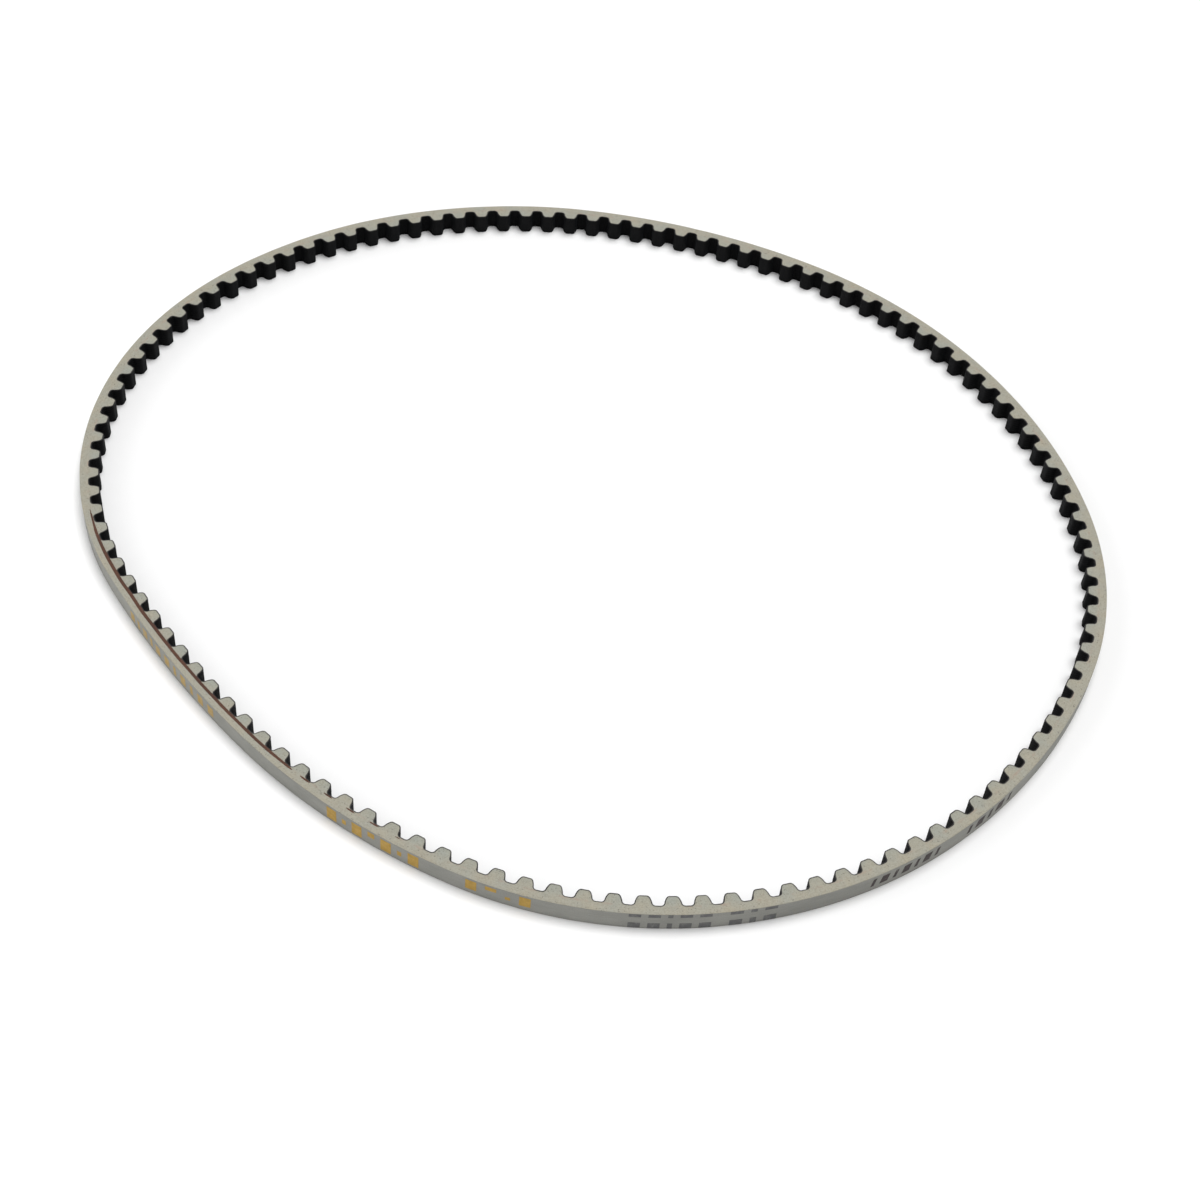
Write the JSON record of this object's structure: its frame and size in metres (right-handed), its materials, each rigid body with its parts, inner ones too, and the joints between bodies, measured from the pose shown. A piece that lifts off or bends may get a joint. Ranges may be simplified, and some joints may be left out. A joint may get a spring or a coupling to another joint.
{
  "type": "timing belt",
  "caption": "Narrow endless synchronous belt with rounded teeth inside and a smooth back, lying as a slightly oval loop on its slit edge.",
  "frame": {"origin": "middle of the loop's box, on the plane of the lower slit edge", "axes": "+Z along the loop's axis, up from the lower slit edge; +X along the longest width of the loop"},
  "size_m": [0.12, 0.1054, 0.0025],
  "materials": {
    "backing": "matte",
    "tooth_rubber": "matte",
    "facing": "matte",
    "cord": "matte",
    "ink_dark": "matte",
    "ink_grey": "matte",
    "ink_ochre": "matte"
  },
  "bodies": {
    "link_01": {"backing_01": "backing", "tooth_rubber_01": "tooth_rubber", "facing_01": "facing", "cords_01": "cord"},
    "link_02": {"backing_02": "backing", "tooth_rubber_02": "tooth_rubber", "facing_02": "facing", "cords_02": "cord"},
    "link_03": {"backing_03": "backing", "tooth_rubber_03": "tooth_rubber", "facing_03": "facing", "cords_03": "cord"},
    "link_04": {"backing_04": "backing", "tooth_rubber_04": "tooth_rubber", "facing_04": "facing", "cords_04": "cord"},
    "link_05": {"backing_05": "backing", "tooth_rubber_05": "tooth_rubber", "facing_05": "facing", "cords_05": "cord", "print_ochre_05": "ink_ochre"},
    "link_06": {"backing_06": "backing", "tooth_rubber_06": "tooth_rubber", "facing_06": "facing", "cords_06": "cord", "print_ochre_06": "ink_ochre"},
    "link_07": {"backing_07": "backing", "tooth_rubber_07": "tooth_rubber", "facing_07": "facing", "cords_07": "cord", "print_grey_07": "ink_grey", "print_ochre_07": "ink_ochre"},
    "link_08": {"backing_08": "backing", "tooth_rubber_08": "tooth_rubber", "facing_08": "facing", "cords_08": "cord", "print_dark_08": "ink_dark", "print_grey_08": "ink_grey"},
    "link_09": {"backing_09": "backing", "tooth_rubber_09": "tooth_rubber", "facing_09": "facing", "cords_09": "cord", "print_dark_09": "ink_dark"},
    "link_10": {"backing_10": "backing", "tooth_rubber_10": "tooth_rubber", "facing_10": "facing", "cords_10": "cord"},
    "link_11": {"backing_11": "backing", "tooth_rubber_11": "tooth_rubber", "facing_11": "facing", "cords_11": "cord"},
    "link_12": {"backing_12": "backing", "tooth_rubber_12": "tooth_rubber", "facing_12": "facing", "cords_12": "cord"},
    "link_13": {"backing_13": "backing", "tooth_rubber_13": "tooth_rubber", "facing_13": "facing", "cords_13": "cord"}
  },
  "joints": [
    {"name": "flex_07_08", "type": "hinge", "parent": "link_07", "child": "link_08", "pos_m": [0.03716, -0.043, 0.00125], "axis": [0, 0, 1], "range_deg": [-12.26, 12.26]},
    {"name": "flex_08_09", "type": "hinge", "parent": "link_08", "child": "link_09", "pos_m": [0.05403, -0.02231, 0.00125], "axis": [0, 0, 1], "range_deg": [-30, 30]},
    {"name": "flex_09_10", "type": "hinge", "parent": "link_09", "child": "link_10", "pos_m": [0.05933, 0.00393, 0.00125], "axis": [0, 0, 1], "range_deg": [-21.73, 21.73]},
    {"name": "flex_10_11", "type": "hinge", "parent": "link_10", "child": "link_11", "pos_m": [0.05052, 0.02899, 0.00125], "axis": [0, 0, 1], "range_deg": [-5.44, 5.44]},
    {"name": "flex_11_12", "type": "hinge", "parent": "link_11", "child": "link_12", "pos_m": [0.02989, 0.04604, 0.00125], "axis": [0, 0, 1], "range_deg": [-28.85, 28.85]},
    {"name": "flex_12_13", "type": "hinge", "parent": "link_12", "child": "link_13", "pos_m": [0.00382, 0.05201, 0.00125], "axis": [0, 0, 1], "range_deg": [-25.99, 25.99]},
    {"name": "flex_06_07", "type": "hinge", "parent": "link_07", "child": "link_06", "pos_m": [0.01205, -0.0519, 0.00125], "axis": [0, 0, 1], "range_deg": [-15.35, 15.35]},
    {"name": "flex_05_06", "type": "hinge", "parent": "link_06", "child": "link_05", "pos_m": [-0.01458, -0.04849, 0.00125], "axis": [0, 0, 1], "range_deg": [-28.79, 28.79]},
    {"name": "flex_04_05", "type": "hinge", "parent": "link_05", "child": "link_04", "pos_m": [-0.03925, -0.03764, 0.00125], "axis": [0, 0, 1], "range_deg": [-20.06, 20.06]},
    {"name": "flex_03_04", "type": "hinge", "parent": "link_04", "child": "link_03", "pos_m": [-0.05648, -0.01754, 0.00125], "axis": [0, 0, 1], "range_deg": [-5.79, 5.79]},
    {"name": "flex_02_03", "type": "hinge", "parent": "link_03", "child": "link_02", "pos_m": [-0.05792, 0.00899, 0.00125], "axis": [0, 0, 1], "range_deg": [-28.5, 28.5]},
    {"name": "flex_01_02", "type": "hinge", "parent": "link_02", "child": "link_01", "pos_m": [-0.04493, 0.03234, 0.00125], "axis": [0, 0, 1], "range_deg": [-26.17, 26.17]}
  ],
  "couplings": [
    {"joint": "flex_07_08", "follows": "flex_08_09", "ratio": 0.40787},
    {"joint": "flex_09_10", "follows": "flex_08_09", "ratio": 0.72385},
    {"joint": "flex_10_11", "follows": "flex_08_09", "ratio": -0.18078},
    {"joint": "flex_11_12", "follows": "flex_08_09", "ratio": -0.96093},
    {"joint": "flex_12_13", "follows": "flex_08_09", "ratio": -0.8656},
    {"joint": "flex_06_07", "follows": "flex_08_09", "ratio": 0.51082},
    {"joint": "flex_05_06", "follows": "flex_08_09", "ratio": 0.95894},
    {"joint": "flex_04_05", "follows": "flex_08_09", "ratio": 0.66804},
    {"joint": "flex_03_04", "follows": "flex_08_09", "ratio": -0.19225},
    {"joint": "flex_02_03", "follows": "flex_08_09", "ratio": -0.94935},
    {"joint": "flex_01_02", "follows": "flex_08_09", "ratio": -0.87179}
  ]
}
